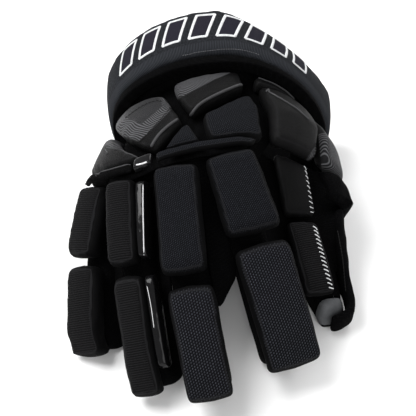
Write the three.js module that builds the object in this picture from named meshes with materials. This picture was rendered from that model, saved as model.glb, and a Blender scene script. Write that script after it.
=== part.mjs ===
import * as THREE from 'three';

// An ice hockey glove for the right hand, lying palm down: a fabric shell with foam filled pads sewn on,
// a padded cuff, fabric finger stalls and a leather palm. Millimetres, +Z up.
// The origin is the middle of the cuff's flat panel, on the floor. The fingers point along -Y and the
// thumb is on the +X side.

// Driving sizes of the hand
const HAND_WIDTH = 168;
const HAND_HEIGHT = 117;
const BACK_LENGTH = 88;
const PAD_DEPTH = 14;
const SHELL_WALL = 2.6;
const GAP = 0.3;
const SEAT = 1;
const FINGER_SEAT = 1;
const SOLE_SEAT = 0.5;

// Driving sizes of the cuff
const CUFF_WIDTH = 184;
const CUFF_HEIGHT = 130;
const CUFF_LENGTH = 56;
const CUFF_FRONT = 33;
const CUFF_TURN = 12;
const CUFF_PADDING = 12;
const TRIM_LENGTH = 8;
const PANEL_THICKNESS = 3;
const PANEL_INSET = 3;
const PANEL_SIDE = 5;
const TRIM_DEPTH = 0.8;

// Driving sizes of the fingers and the thumb
const FINGER_LENGTH = 134;
const FINGER_WIDTH = 32;
const FINGER_PAD = 16.5;
const STALL_WIDTH = 25;
const STALL_MARGIN = 0.06;
const STALL_SPREAD = 1.12;
const WEB_HIGH = 15;
const WEB_THICKNESS = 2;
const STALL_HEIGHT = 24;
const STALL_WALL = 2.2;
const LEATHER = 2;
const TIP_REACH = 21;
const JOINT_GAP = 2.4;
const PAD_WRAP = 0.66;
const GLOSS_WIDTH = 7;
const GLOSS_DEPTH = 0.86;
const GLOSS_INSET = 2.2;
const THUMB_LENGTH = 88;
const THUMB_NEAR = 0.46;
const THUMB_WIDTH = 25;
const THUMB_PAD = 12;
const THUMB_PAD_SHIFT = -9;
const THUMB_PAD_START = 1;
const THUMB_PAD_SLANT = 7;
const THUMB_STALL_WIDTH = 37;
const THUMB_HEIGHT = 65;
const THUMB_TIP = 17;
const EDGE_WIDTH = 7.5;
const EDGE_ROOT = 2.3;
const EDGE_HEIGHT = 62;
const EDGE_TIP_HEIGHT = 15;
const EDGE_REST = 2;
const EDGE_START = 30;
const EDGE_TURN = 100;
const EDGE_SQUARE = 0.75;

const DEGREE = Math.PI / 180;

// Sections of the hand from the wrist opening to the knuckles. along is a share of BACK_LENGTH from the
// cuff's finger edge. left, crown and right are shares of HAND_WIDTH, the heights shares of HAND_HEIGHT.
// leftHip and rightHip are the widest places, leftHem and rightHem the lower edges, and the round
// columns say how square the shoulders are.
const HAND_HEM = (PANEL_THICKNESS + GAP) / HAND_HEIGHT;
const HAND_SECTIONS = [
  { along: -0.64, left: -0.455, crown: 0.01, right: 0.475, height: 0.93, leftHip: 0.45, rightHip: 0.43,
    leftHem: HAND_HEM, rightHem: HAND_HEM, leftRound: 1.9, rightRound: 1.9, turn: 1 },
  { along: 0, left: -0.425, crown: 0.05, right: 0.447, height: 0.948, leftHip: 0.45, rightHip: 0.43,
    leftHem: HAND_HEM, rightHem: HAND_HEM, leftRound: 2.1, rightRound: 2.0, turn: 1 },
  { along: 0.25, left: -0.5, crown: 0.035, right: 0.487, height: 0.985, leftHip: 0.45, rightHip: 0.43,
    leftHem: 0.094, rightHem: 0.044, leftRound: 2.15, rightRound: 1.88, turn: 0.7 },
  { along: 0.5, left: -0.56, crown: 0.02, right: 0.5, height: 1, leftHip: 0.44, rightHip: 0.43,
    leftHem: 0.16, rightHem: 0.06, leftRound: 2.2, rightRound: 1.75, turn: 0.4 },
  { along: 1, left: -0.69, crown: -0.05, right: 0.475, height: 1, leftHip: 0.45, rightHip: 0.41,
    leftHem: 0.34, rightHem: 0.1, leftRound: 2.3, rightRound: 1.25, turn: 0 },
];

// The two rims of the cuff, as shares of CUFF_WIDTH and CUFF_HEIGHT
const HEM_LEAN = 1.7;
const CUFF_HEM = (PANEL_THICKNESS + GAP - HEM_LEAN) / CUFF_HEIGHT;
const CUFF_SECTIONS = [
  { along: 0, left: -0.505, crown: -0.02, right: 0.5, height: 1, leftHip: 0.42, rightHip: 0.36,
    leftHem: CUFF_HEM, rightHem: CUFF_HEM, leftRound: 1.86, rightRound: 1.38, turn: 1 },
  { along: 1, left: -0.46, crown: 0.07, right: 0.48, height: 0.945, leftHip: 0.42, rightHip: 0.36,
    leftHem: CUFF_HEM, rightHem: CUFF_HEM, leftRound: 1.95, rightRound: 1.9, turn: 1 },
];

// Fingers: around and along place the knuckle on the back of the hand, the yaws turn the two segments
// towards the thumb, the slopes drop them, roll leans the finger. near and far are the segments'
// lengths as shares of FINGER_LENGTH, width and flare are shares of FINGER_WIDTH: the pads are that
// much wider on the thumb's side at the joint and at the tip. start is where the stall
// begins and web where the web to the finger before it does, in mm from the knuckle.
const FINGERS = [
  { name: 'pinky', around: 0.218, along: 0.95, nearYaw: -22, farYaw: -8, nearSlope: 32, farSlope: 32,
    roll: -36, near: 0.39, far: 0.35, width: 0.83, start: 5, flare: 0, web: 0 },
  { name: 'ring', around: 0.322, along: 1.0, nearYaw: -6, farYaw: 2, nearSlope: 29, farSlope: 36,
    roll: -22, near: 0.45, far: 0.48, width: 0.9, start: 0.2, flare: 0, web: 10 },
  { name: 'middle', around: 0.417, along: 1.04, nearYaw: -4, farYaw: 4, nearSlope: 27, farSlope: 37,
    roll: -12, near: 0.57, far: 0.44, width: 1, start: -2.2, flare: 0, web: -9 },
  { name: 'index', around: 0.491, along: 1.023, nearYaw: 8, farYaw: 12, nearSlope: 29, farSlope: 39,
    roll: -4, near: 0.44, far: 0.52, width: 1.1, start: 1, flare: 0.14, web: -9 },
];

const lerp = (from, to, share) => from + (to - from) * share;
const clamp = (value, low, high) => Math.min(high, Math.max(low, value));
const smooth = (value, low, high) => {
  const t = clamp((value - low) / (high - low), 0, 1);
  return t * t * (3 - 2 * t);
};
const power = (value, exponent) => Math.sign(value) * Math.abs(value) ** exponent;
const spread = (from, to, count) => (
  Array.from({ length: count + 1 }, (_, k) => lerp(from, to, k / count)));

// Straight values between the rows of a table, at one place along it
function rowAt(table, along) {
  let next = table.findIndex((row) => row.along > along);
  if (next < 0) next = table.length - 1;
  if (next === 0) next = 1;
  const before = table[next - 1];
  const after = table[next];
  const share = (along - before.along) / (after.along - before.along);
  const row = {};
  for (const key of Object.keys(before)) row[key] = lerp(before[key], after[key], share);
  return row;
}

// An arch over the hand: around runs from 0 at the left hem over the crown to 1 at the right hem, along
// runs towards the fingers, and depth goes inwards from the outer surface
const HIP = 0.14;
const TUCK = 0.1;

function archOutline(table, width, height, around, along) {
  const row = rowAt(table, along);
  const left = around < 0.5;
  const side = (left ? row.left : row.right) * width;
  const crown = row.crown * width;
  const hip = (left ? row.leftHip : row.rightHip) * height;
  const hem = (left ? row.leftHem : row.rightHem) * height;
  const share = (left ? around : 1 - around) / HIP;
  if (share < 1) {
    const tuck = TUCK * (1 - share) ** 2;
    return { x: lerp(side, crown, tuck), z: lerp(hem, hip, share), turn: row.turn };
  }
  const angle = ((left ? around : 1 - around) - HIP) / (0.5 - HIP) * 90 * DEGREE;
  const round = 2 / (left ? row.leftRound : row.rightRound);
  return {
    x: crown + (side - crown) * power(Math.cos(angle), round),
    z: hip + (row.height * height - hip) * power(Math.sin(angle), round),
    turn: row.turn,
  };
}

function turned(x, y, turn) {
  const angle = CUFF_TURN * DEGREE * turn;
  return [x * Math.cos(angle) + y * Math.sin(angle), -x * Math.sin(angle) + y * Math.cos(angle)];
}

function offsetInwards(surface, around, along, depth) {
  const step = 0.004;
  const across = surface(around + step, along).sub(surface(around - step, along));
  const onward = surface(around, along + step * 2).sub(surface(around, along - step * 2));
  const normal = across.cross(onward).normalize();
  return surface(around, along).addScaledVector(normal, depth);
}

// The knuckle line runs back towards the wrist on the little finger's side
const REACH_LEFT = 0.56;
const REACH_RIGHT = 0.93;

function reach(around) {
  const left = lerp(REACH_LEFT, 1, smooth(around, 0.08, 0.34));
  return left * lerp(1, REACH_RIGHT, smooth(around, 0.55, 0.8));
}

function handSurface(around, along) {
  const at = archOutline(HAND_SECTIONS, HAND_WIDTH, HAND_HEIGHT, around, along);
  const run = along > 0 ? along * BACK_LENGTH * reach(around) : along * BACK_LENGTH;
  const [x, y] = turned(at.x, -CUFF_FRONT - run, at.turn);
  return new THREE.Vector3(x, y, at.z);
}

function cuffSurface(around, along) {
  const at = archOutline(CUFF_SECTIONS, CUFF_WIDTH, CUFF_HEIGHT, around, along);
  const [x, y] = turned(at.x, CUFF_LENGTH - CUFF_FRONT - along * CUFF_LENGTH, at.turn);
  return new THREE.Vector3(x, y, at.z);
}

const handPoint = (around, along, depth) => offsetInwards(handSurface, around, along, depth);
const cuffPoint = (around, along, depth) => offsetInwards(cuffSurface, around, along, depth);

// A closed body from a list of triangles: equal points are shared, flat triangles are dropped, and the
// body is turned so that its faces point out
function body(points, triangles) {
  const seen = new Map();
  const shared = [];
  const index = points.map((point) => {
    const key = [point.x, point.y, point.z].map((value) => Math.round(value * 500)).join();
    if (!seen.has(key)) {
      seen.set(key, shared.length);
      shared.push(point);
    }
    return seen.get(key);
  });
  const faces = triangles.map((triangle) => triangle.map((corner) => index[corner]))
    .filter(([a, b, c]) => a !== b && b !== c && c !== a);
  let volume = 0;
  for (const [a, b, c] of faces) {
    volume += shared[a].dot(new THREE.Vector3().crossVectors(shared[b], shared[c]));
  }
  const ordered = volume < 0 ? faces.map(([a, b, c]) => [a, c, b]) : faces;
  const geometry = new THREE.BufferGeometry();
  const numbers = shared.flatMap((point) => [point.x, point.y, point.z]);
  geometry.setAttribute('position', new THREE.Float32BufferAttribute(numbers, 3));
  geometry.setIndex(ordered.flat());
  geometry.computeVertexNormals();
  return geometry;
}

// A closed body between two grids of the same size, such as the outside and the inside of a wall
function between(upper, lower) {
  const rows = upper.length;
  const columns = upper[0].length;
  const points = [...upper.flat(), ...lower.flat()];
  const top = (i, j) => i * columns + j;
  const under = (i, j) => rows * columns + i * columns + j;
  const triangles = [];
  const quad = (a, b, c, d) => triangles.push([a, b, c], [a, c, d]);
  for (let i = 0; i < rows - 1; i += 1) {
    for (let j = 0; j < columns - 1; j += 1) {
      quad(top(i, j), top(i, j + 1), top(i + 1, j + 1), top(i + 1, j));
      quad(under(i, j), under(i + 1, j), under(i + 1, j + 1), under(i, j + 1));
    }
    quad(top(i, 0), top(i + 1, 0), under(i + 1, 0), under(i, 0));
    quad(top(i + 1, columns - 1), top(i, columns - 1), under(i, columns - 1), under(i + 1, columns - 1));
  }
  for (let j = 0; j < columns - 1; j += 1) {
    quad(top(0, j + 1), top(0, j), under(0, j), under(0, j + 1));
    quad(top(rows - 1, j), top(rows - 1, j + 1), under(rows - 1, j + 1), under(rows - 1, j));
  }
  return body(points, triangles);
}

// Stops from -1 to 1 that lie closer together near the ends, for a rounded rim
function stops(inner) {
  const rim = RIM.map(([stop]) => stop);
  return [...rim.map((stop) => -stop).reverse(), ...spread(-rim[0], rim[0], inner).slice(1, -1), ...rim];
}

// A foam filled pillow over a patch with four corners, given as pairs of places on the surface: domed on
// top, rounded at its rim and corners, and a little narrower underneath
const RIM = [[0.85, 1], [0.95, 0.85], [1, 0.5]];
const CORNER = 0.06;
const BACK_CORNER = 0.05;
const UNDERCUT = 0.93;
const CROWN = 0.06;

function rimHeight(stop) {
  const away = Math.abs(stop);
  if (away <= RIM[0][0]) return 1 - CROWN * (away / RIM[0][0]) ** 2;
  const [from, to] = away <= RIM[1][0] ? [RIM[0], RIM[1]] : [RIM[1], RIM[2]];
  return (1 - CROWN) * lerp(from[1], to[1], (away - from[0]) / (to[0] - from[0]));
}

function patch(corners, corner, a, b) {
  const u = (a * (1 - corner * Math.abs(b) ** 6) + 1) / 2;
  const v = (b * (1 - corner * Math.abs(a) ** 6) + 1) / 2;
  const [p, q, r, s] = corners;
  const mix = (k) => lerp(lerp(p[k], q[k], u), lerp(s[k], r[k], u), v);
  return [mix(0), mix(1)];
}

function pillow(place, corners, low, high, across = 2, onward = 3, corner = CORNER) {
  const rows = stops(onward);
  const columns = stops(across);
  const upper = rows.map((b) => columns.map((a) => {
    const [u, v] = patch(corners, corner, a, b);
    return place(u, v, low + (high - low) * rimHeight(a) * rimHeight(b));
  }));
  const lower = rows.map((b) => columns.map((a) => {
    const [u, v] = patch(corners, corner, a * UNDERCUT, b * UNDERCUT);
    return place(u, v, low);
  }));
  return between(upper, lower);
}

// A rectangle of corners for a pillow
const rectangle = (left, right, start, end) => [[left, start], [right, start], [right, end], [left, end]];

// A finger's frame at a place along it: its way onward, its side and its back
const BEND_RUN = 14;
const TIP_SQUARE = 0.72;

function heading(yaw, slope) {
  const level = Math.cos(slope * DEGREE);
  return new THREE.Vector3(Math.sin(yaw * DEGREE) * level, -Math.cos(yaw * DEGREE) * level,
    -Math.sin(slope * DEGREE));
}

function fingerFrame(finger, along) {
  const share = smooth(along, finger.nearLength - BEND_RUN / 2, finger.nearLength + BEND_RUN / 2);
  const onward = heading(lerp(finger.nearYaw, finger.farYaw, share),
    lerp(finger.nearSlope, finger.farSlope, share));
  const level = new THREE.Vector3(-onward.y, onward.x, 0).normalize();
  const upright = new THREE.Vector3().crossVectors(onward, level).normalize();
  const roll = finger.roll * DEGREE;
  const back = upright.clone().multiplyScalar(Math.cos(roll)).addScaledVector(level, Math.sin(roll));
  const side = level.clone().multiplyScalar(Math.cos(roll)).addScaledVector(upright, -Math.sin(roll));
  return { onward, side, back };
}

function fingerSpine(finger, along) {
  const steps = Math.max(1, Math.ceil(Math.abs(along) / 4));
  const spot = finger.root.clone();
  for (let k = 0; k < steps; k += 1) {
    const middle = along * (k + 0.5) / steps;
    spot.addScaledVector(fingerFrame(finger, middle).onward, along / steps);
  }
  return spot;
}

const lengthOf = (finger) => finger.nearLength + finger.farLength;

// The height of the stall over the finger's palm side line
function heightAt(finger, along) {
  return rowAt(finger.heights, clamp(along / lengthOf(finger), 0, 1)).height * finger.stallHeight;
}

const halfAt = (finger, along) => finger.stallWidth / 2
  * lerp(1, finger.tipShare, clamp(along / lengthOf(finger), 0, 1));

// A point of a finger: along its palm side line, across it and high above it. Past the end of the far
// segment the section swings round the fingertip. Nothing sinks lower than rest above the floor.
function fingerPoint(finger, along, across, high, rest = 0) {
  const straight = lengthOf(finger);
  const frame = fingerFrame(finger, along);
  const spot = fingerSpine(finger, Math.min(along, straight));
  const reachAhead = clamp((along - straight) / finger.tipReach, 0, 1);
  const swing = reachAhead * 90 * DEGREE;
  const full = heightAt(finger, straight) + finger.padDepth;
  const leaning = high * (1 - finger.lean * across / finger.stallHeight);
  spot.addScaledVector(frame.side, across);
  spot.addScaledVector(frame.back, leaning * power(Math.cos(swing), TIP_SQUARE));
  spot.addScaledVector(frame.onward, high / full * finger.tipReach * power(Math.sin(swing), TIP_SQUARE));
  spot.z = Math.max(spot.z, rest);
  return spot;
}

// A fabric channel over a finger: its back and its sides, open underneath and at the root, closed
// round the tip where the stations go that far
const STALL_SQUARE = 0.55;
const ARC_STEPS = 10;

function arcAcross(finger, along, inset, rest) {
  const half = halfAt(finger, along) - inset;
  const high = heightAt(finger, along) - inset;
  return spread(0, 180, ARC_STEPS).map((angle) => fingerPoint(finger, along,
    -half * power(Math.cos(angle * DEGREE), STALL_SQUARE),
    high * power(Math.sin(angle * DEGREE), STALL_SQUARE), rest));
}

function stationsOf(finger) {
  const joint = finger.nearLength;
  return [finger.start, joint / 2, joint - BEND_RUN / 2, joint, joint + BEND_RUN / 2,
    joint + finger.farLength * 0.6, lengthOf(finger)];
}

const tipStations = (finger) => spread(0, finger.tipReach, 4).map((step) => lengthOf(finger) + step);

function channel(finger, stations) {
  const rest = LEATHER + GAP;
  return between(
    stations.map((along) => arcAcross(finger, along, 0, rest)),
    stations.map((along) => arcAcross(finger, along, STALL_WALL, rest)),
  );
}

// A leather strip under a finger, from its root round the ball of its tip, flat where it rests
const BALL_TAPER = 0.25;
const BALL_ROUND = 0.12;

function palmStrip(finger) {
  const straight = lengthOf(finger);
  const acrossShares = [-0.9, -0.45, 0, 0.45, 0.9];
  const ahead = heightAt(finger, straight) / (heightAt(finger, straight) + finger.padDepth)
    * finger.tipReach;
  const sheet = (high, rest) => {
    const rows = stationsOf(finger).map((along) => acrossShares.map((share) => (
      fingerPoint(finger, along, halfAt(finger, along) * share, high, rest))));
    for (const swing of [30, 60, 90]) {
      rows.push(acrossShares.map((share) => {
        const half = halfAt(finger, straight) * (1 - BALL_TAPER * Math.sin(swing * DEGREE) ** 4);
        const spot = fingerPoint(finger, straight, half * share, high, -Infinity);
        const run = ahead * Math.sin(swing * DEGREE) * (1 - BALL_ROUND * share ** 4);
        spot.addScaledVector(fingerFrame(finger, straight).onward, run);
        spot.z = Math.max(spot.z, rest);
        return spot;
      }));
    }
    return rows;
  };
  return between(sheet(-SOLE_SEAT, LEATHER), sheet(-SOLE_SEAT - LEATHER, 0));
}

const grid = (place, us, vs) => vs.map((v) => us.map((u) => place(u, v)));

// Each finger's own sizes, worked out from the table and the named sizes
const EVEN = [{ along: 0, height: 1 }, { along: 1, height: 0.96 }];

function makeFinger(row) {
  const finger = {
    ...row,
    nearLength: row.near * FINGER_LENGTH,
    farLength: row.far * FINGER_LENGTH,
    padWidth: row.width * FINGER_WIDTH,
    padDepth: FINGER_PAD + FINGER_SEAT,
    stallWidth: Math.min(1, row.width + STALL_MARGIN) * STALL_WIDTH,
    stallHeight: STALL_HEIGHT,
    tipReach: TIP_REACH,
    tipShare: STALL_SPREAD,
    start: row.start,
    lean: 0,
    heights: EVEN,
  };
  const knuckle = handPoint(row.around, row.along, 0);
  finger.root = knuckle.addScaledVector(fingerFrame(finger, 0).back,
    -(finger.stallHeight + finger.padDepth));
  return finger;
}

const fingers = FINGERS.map(makeFinger);

// The thumb: a deep stall that lies on the floor beside the palm and falls away towards its tip
const THUMB_ACROSS = 0.245;
const THUMB_CLEAR = 1.5;
const THUMB_REST = 6;
const thumb = {
  name: 'thumb',
  nearYaw: 2,
  farYaw: 5,
  nearSlope: 3,
  farSlope: 3,
  roll: 0,
  nearLength: THUMB_NEAR * THUMB_LENGTH,
  farLength: (1 - THUMB_NEAR) * THUMB_LENGTH,
  padWidth: THUMB_WIDTH,
  padDepth: THUMB_PAD + FINGER_SEAT,
  stallWidth: THUMB_STALL_WIDTH,
  stallHeight: THUMB_HEIGHT,
  tipReach: THUMB_TIP,
  tipShare: 0.54,
  start: 0,
  lean: 0.35,
  heights: [{ along: 0, height: 1 }, { along: 0.1, height: 0.97 }, { along: 0.5, height: 0.62 },
    { along: 1, height: 0.33 }],
};

// Inside the cuff the shell flares out until it lines the band
const RIM_INSET = 3;
const FLARE_START = 0.1;
const FLARE_END = 0.55;

// The shell of the hand, open at the wrist, at the knuckles, at the thumb and underneath
const SHELL_END = 0.9;
const SHELL_THUMB_END = 0.68;
const shellEnd = (around) => lerp(SHELL_END, SHELL_THUMB_END, smooth(around, 0.54, 0.62));
const shellWall = (inset) => (around, share) => {
  if (share >= 0) return handPoint(around, share * shellEnd(around), PAD_DEPTH + inset);
  const back = -share * (CUFF_LENGTH - RIM_INSET);
  const hand = handPoint(around, -back / BACK_LENGTH, PAD_DEPTH + inset);
  const cuff = cuffPoint(around, 1 - back / CUFF_LENGTH, CUFF_PADDING + SEAT + inset);
  return hand.lerp(cuff, smooth(-share, FLARE_START, FLARE_END));
};

thumb.root = new THREE.Vector3(THUMB_ACROSS * HAND_WIDTH,
  handPoint(1, SHELL_THUMB_END, PAD_DEPTH).y - THUMB_CLEAR, THUMB_REST);

// Pads on the back of the hand. Each has four corners, as places around and along the hand: the start
// on the left and the right, then the end on the right and the left.
const BACK_PADS = [
  { name: 'pad_outer', look: 'grey', corners: [[0.12, 0], [0.378, 0.16], [0.426, 0.6], [0.385, 0.86]] },
  { name: 'pad_outer_mesh', look: 'mesh', corners: [[0.424, 0.68], [0.434, 0.63], [0.459, 0.875], [0.395, 0.885]] },
  { name: 'pad_side', look: 'smooth', corners: [[0.115, 0.09], [0.25, 0.465], [0.366, 0.885], [0.125, 0.78]] },
  { name: 'pad_upper', look: 'smooth', corners: [[0.376, 0.06], [0.532, -0.06], [0.543, 0.21], [0.432, 0.54]] },
  { name: 'pad_centre', look: 'mesh', corners: [[0.452, 0.57], [0.552, 0.28], [0.594, 0.87], [0.466, 0.87]] },
  { name: 'pad_thumb_upper', look: 'smooth', corners: [[0.562, -0.04], [0.71, 0.012], [0.72, 0.062], [0.57, 0.07]] },
  { name: 'pad_thumb', look: 'smooth', corners: [[0.57, 0.105], [0.742, 0.085], [0.71, 0.885], [0.608, 0.865]] },
  { name: 'pad_thumb_side', look: 'grey', corners: [[0.752, 0.04], [0.9, 0.04], [0.9, 0.76], [0.722, 0.87]] },
  { name: 'thumb_gusset', look: 'knit', corners: [[0.733, 0.87], [0.95, 0.76], [0.95, 1.05], [0.745, 1.14]] },
];

// The widest steps between the points of a pad, around the hand and along it
const PAD_STEPS = [0.055, 0.2];

// The narrow padded strip over the knuckles, in three pieces from the little finger's side
const KNUCKLE_STRIP = [
  { name: 'knuckle_strip', look: 'smooth', corners: [[0.15, 0.8], [0.346, 0.895], [0.346, 0.985], [0.14, 0.885]] },
  { name: 'knuckle_tab', look: 'gloss', corners: [[0.3462, 0.897], [0.381, 0.897], [0.381, 0.985], [0.3462, 0.985]] },
  { name: 'knuckle_mesh', look: 'mesh', corners: [[0.3822, 0.895], [0.575, 0.885], [0.57, 0.968], [0.3822, 0.988]] },
];
const STRIP_LOW = 9;
const STRIP_HIGH = 15;
const STRIP_CORNER = 0.03;

// Looks of the materials
const looks = {
  mesh: { color: 0x17191e, roughness: 0.85 },
  rib: { color: 0x151517, roughness: 0.8 },
  smooth: { color: 0x18181a, roughness: 0.6 },
  gloss: { color: 0x060607, roughness: 0.12 },
  grey: { color: 0x4a4a50, roughness: 0.6 },
  knit: { color: 0x0d0d0f, roughness: 0.95 },
  cuff: { color: 0x14151a, roughness: 0.9 },
  leather: { color: 0xb4b9bc, roughness: 0.7 },
};

const glove = new THREE.Group();

function add(name, geometry, look) {
  const mesh = new THREE.Mesh(geometry, new THREE.MeshStandardMaterial({ ...looks[look], metalness: 0 }));
  mesh.name = name;
  glove.add(mesh);
}

function addHand() {
  const around = spread(0.003, 0.997, 24);
  const along = [-1, -0.55, -0.33, -0.1, 0, 0.25, 0.5, 0.75, 1];
  add('hand_back', between(grid(shellWall(0), around, along), grid(shellWall(SHELL_WALL), around, along)),
    'knit');
  const onHand = (u, v, high) => handPoint(u, v, PAD_DEPTH - high);
  for (const pad of BACK_PADS) {
    const [columns, rows] = PAD_STEPS.map((step, k) => {
      const places = pad.corners.map((corner) => corner[k]);
      return Math.ceil((Math.max(...places) - Math.min(...places)) / step);
    });
    add(pad.name, pillow(onHand, pad.corners, SEAT, PAD_DEPTH, columns, rows, BACK_CORNER), pad.look);
  }
  for (const piece of KNUCKLE_STRIP) {
    add(piece.name, pillow(onHand, piece.corners, STRIP_LOW, STRIP_HIGH, 3, 1, STRIP_CORNER), piece.look);
  }
}

// The leather palm rises from the floor at the cuff to the roots of the fingers
const PALM_START = 0.02;
const PALM_END = 0.7;
const PALM_THUMB_END = 0.6;
const PALM_RISE = 0.5;
const RISE_START = 0.1;
const PALM_COLUMNS = 8;
const PALM_ROWS = 4;

function addPalm() {
  const shares = spread(0, 1, PALM_COLUMNS);
  const place = (low) => (share, step) => {
    const end = lerp(PALM_END, PALM_THUMB_END, smooth(share, 0.5, 0.8));
    const along = lerp(PALM_START, end, step);
    const left = handPoint(0, along, PAD_DEPTH - 1);
    const right = handPoint(1, along, PAD_DEPTH - 1);
    const spot = left.lerp(right, share);
    const rise = PALM_RISE * HAND_HEIGHT * smooth(along, RISE_START, 1) * Math.sin(Math.PI * share);
    spot.z = Math.max(low, spot.z + rise - 2 * GAP - LEATHER + low);
    return spot;
  };
  const steps = spread(0, 1, PALM_ROWS);
  add('palm', between(grid(place(LEATHER), shares, steps), grid(place(0), shares, steps)), 'leather');
}

function addFinger(finger) {
  const low = (v) => heightAt(finger, v) + FINGER_SEAT;
  const half = finger.padWidth / 2;
  const onFinger = (u, v, h) => fingerPoint(finger, v, u, low(v) + h, LEATHER + GAP);
  const joint = finger.nearLength;
  const look = finger.name === 'pinky' || finger.name === 'ring' ? 'rib' : 'mesh';
  const strip = finger.name === 'ring' ? GLOSS_WIDTH : 0;
  const right = half - strip;
  const end = lengthOf(finger) + finger.tipReach * PAD_WRAP;
  const depth = finger.padDepth - FINGER_SEAT;
  add(`${finger.name}_stall`, channel(finger, [...stationsOf(finger).slice(0, -1), ...tipStations(finger)]),
    'knit');
  add(`${finger.name}_palm_strip`, palmStrip(finger), 'leather');
  const flared = right + finger.flare * FINGER_WIDTH;
  const nearEnd = joint - JOINT_GAP / 2;
  add(`${finger.name}_near_pad`, pillow(onFinger, [[-half, 0], [right, 0], [flared, nearEnd], [-half, nearEnd]],
    0, depth), look);
  add(`${finger.name}_far_pad`, pillow(onFinger, rectangle(-half, flared, joint + JOINT_GAP / 2, end),
    0, depth, 2, 5), look);
  if (strip) {
    add(`${finger.name}_near_gloss`, pillow(onFinger,
      rectangle(right + GAP, half, GLOSS_INSET, nearEnd - GLOSS_INSET), 0, depth * GLOSS_DEPTH, 1, 3), 'gloss');
    add(`${finger.name}_far_gloss`, pillow(onFinger,
      rectangle(right + GAP, half, joint + GLOSS_INSET, lengthOf(finger)), 0, depth * GLOSS_DEPTH,
      1, 4), 'gloss');
  }
}

// The soft webs between neighbouring fingers, from under the shell to the joint
const WEB_REACH = 1.25;
const WEB_SIDE = 0.97;
const WEB_CLEAR = 0.7;

function addWeb(left, right) {
  const rim = (finger, side, step, high) => {
    const along = lerp(right.web, finger.nearLength * WEB_REACH, step);
    return fingerPoint(finger, along, side * (halfAt(finger, along) * WEB_SIDE + WEB_CLEAR), high);
  };
  const sheet = (high) => spread(0, 1, 6).map((step) => {
    const from = rim(left, 1, step, high);
    const to = rim(right, -1, step, high);
    return [0, 0.5, 1].map((share) => from.clone().lerp(to, share));
  });
  add(`${right.name}_web`, between(sheet(WEB_HIGH), sheet(WEB_HIGH - WEB_THICKNESS)), 'knit');
}

// The thumb, with its pads on the side of the fingers and a rolled edge along its outer side
function addThumb() {
  const joint = thumb.nearLength;
  const straight = lengthOf(thumb);
  const depth = thumb.padDepth - FINGER_SEAT;
  const onThumb = (u, v, h) => fingerPoint(thumb, v, u, heightAt(thumb, v) + FINGER_SEAT + h, LEATHER + GAP);
  const left = THUMB_PAD_SHIFT - thumb.padWidth / 2;
  const right = THUMB_PAD_SHIFT + thumb.padWidth / 2;
  add('thumb_stall', channel(thumb, stationsOf(thumb)), 'knit');
  const tip = tipStations(thumb);
  tip[0] += GAP;
  add('thumb_tip', channel(thumb, tip), 'leather');
  add('thumb_sole', palmStrip(thumb), 'leather');
  add('thumb_near_pad', pillow(onThumb, [[left, THUMB_PAD_START], [right, THUMB_PAD_START + THUMB_PAD_SLANT],
    [right, joint - JOINT_GAP / 2], [left, joint - JOINT_GAP / 2]], 0, depth), 'smooth');
  add('thumb_far_pad', pillow(onThumb, rectangle(left, right, joint + JOINT_GAP / 2, straight + 2),
    0, depth), 'rib');
}

// The rolled edge starts at the gusset, follows the thumb's outer side and turns round its tip
const EDGE_SIDES = 12;
const EDGE_FALL = 0.8;
const EDGE_ROUND = 0.8;

function addThumbEdge() {
  const straight = lengthOf(thumb);
  const sections = [];
  const section = (along, turn) => {
    const wide = EDGE_WIDTH * lerp(EDGE_ROOT, 1, clamp(along / straight, 0, 1));
    const out = halfAt(thumb, along) + GAP * 2 + wide / 2;
    const ahead = heightAt(thumb, straight) / (heightAt(thumb, straight) + thumb.padDepth)
      * thumb.tipReach + GAP * 2 + EDGE_WIDTH / 2;
    const frame = fingerFrame(thumb, along);
    const way = frame.side.clone().multiplyScalar(Math.cos(turn)).addScaledVector(frame.onward, Math.sin(turn));
    const lowered = EDGE_FALL * clamp(along / straight, 0, 1) + (1 - EDGE_FALL) * turn / (EDGE_TURN * DEGREE);
    const tall = lerp(EDGE_HEIGHT, EDGE_TIP_HEIGHT, lowered);
    const centre = fingerSpine(thumb, along);
    centre.addScaledVector(frame.side, out * power(Math.cos(turn), EDGE_SQUARE));
    centre.addScaledVector(frame.onward, ahead * power(Math.sin(turn), EDGE_SQUARE));
    centre.z = EDGE_REST + tall / 2;
    return spread(0, 360, EDGE_SIDES).slice(1).map((angle) => centre.clone()
      .addScaledVector(way, wide / 2 * power(Math.cos(angle * DEGREE), EDGE_ROUND))
      .add(new THREE.Vector3(0, 0, tall / 2 * power(Math.sin(angle * DEGREE), EDGE_ROUND))));
  };
  for (const along of spread(EDGE_START, straight, 6)) sections.push(section(along, 0));
  for (const turn of spread(0, EDGE_TURN, 5).slice(1)) sections.push(section(straight, turn * DEGREE));
  add('thumb_edge', loft(sections), 'knit');
}

// A closed body through a row of closed sections
function loft(sections) {
  const count = sections[0].length;
  const points = sections.flat();
  const triangles = [];
  for (let i = 0; i < sections.length - 1; i += 1) {
    for (let j = 0; j < count; j += 1) {
      const a = i * count + j;
      const b = i * count + (j + 1) % count;
      triangles.push([a, b, b + count], [a, b + count, a + count]);
    }
  }
  const last = (sections.length - 1) * count;
  for (let j = 1; j < count - 1; j += 1) {
    triangles.push([0, j + 1, j], [last, last + j, last + j + 1]);
  }
  return body(points, triangles);
}

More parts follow.
